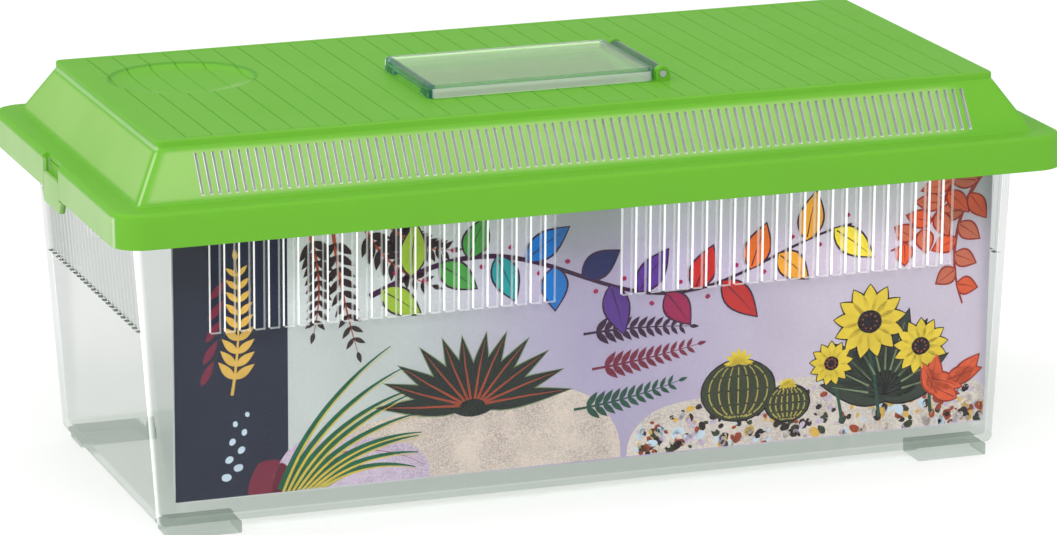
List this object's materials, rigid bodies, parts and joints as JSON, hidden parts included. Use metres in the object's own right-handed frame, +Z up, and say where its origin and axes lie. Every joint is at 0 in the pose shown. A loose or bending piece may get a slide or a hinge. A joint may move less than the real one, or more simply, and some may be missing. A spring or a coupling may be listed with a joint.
{
  "type": "plastic pet keeper",
  "caption": "Clear slotted plastic tub on low feet with a green vented lift-off lid, hinged clear feeding hatch, end latches and a printed card inside the front.",
  "frame": {"origin": "on the surface that the feet stand on, under the middle of the tub", "axes": "+X along the keeper's length, towards the hatch's hinge; +Y away from the printed front; +Z up"},
  "size_m": [0.315, 0.172, 0.1334],
  "materials": {
    "clear_tub": "clear moulded plastic, glossy, faint grey-green tint in thick places",
    "printed_card": "satin printed card",
    "green_lid": "lime green moulded plastic, slightly translucent, soft gloss",
    "clear_hatch": "clear moulded plastic, glossy, teal tint at the edges"
  },
  "bodies": {
    "tub_body": {"tub": "clear_tub", "feet": "clear_tub", "front_vent_left": "clear_tub", "front_vent_right": "clear_tub", "back_vent_left": "clear_tub", "back_vent_right": "clear_tub", "left_end_vent": "clear_tub", "right_end_vent": "clear_tub", "label_card": "printed_card"},
    "lid_body": {"lid_shell": "green_lid", "lid_front_grille": "green_lid", "lid_back_grille": "green_lid", "hinge_ears": "green_lid"},
    "hatch_body": {"hatch_door": "clear_hatch", "hatch_hinge_pins": "clear_hatch"},
    "latch_left_body": {"latch_left": "green_lid"},
    "latch_right_body": {"latch_right": "green_lid"}
  },
  "joints": [
    {"name": "lid_lift", "type": "slide", "parent": "tub_body", "child": "lid_body", "axis": [0, 0, 1], "range_m": [0, 0.08]},
    {"name": "hatch_hinge", "type": "hinge", "parent": "lid_body", "child": "hatch_body", "pos_m": [0.0358, -0.0145, 0.131], "axis": [0, 1, 0], "range_deg": [0, 110]},
    {"name": "latch_left_flex", "type": "hinge", "parent": "lid_body", "child": "latch_left_body", "pos_m": [-0.15486, 0, 0.1084], "axis": [0, 1, 0], "range_deg": [0, 10], "stiffness_Nm_per_rad": 0.2},
    {"name": "latch_right_flex", "type": "hinge", "parent": "lid_body", "child": "latch_right_body", "pos_m": [0.15486, 0, 0.1084], "axis": [0, -1, 0], "range_deg": [0, 10], "stiffness_Nm_per_rad": 0.2}
  ]
}
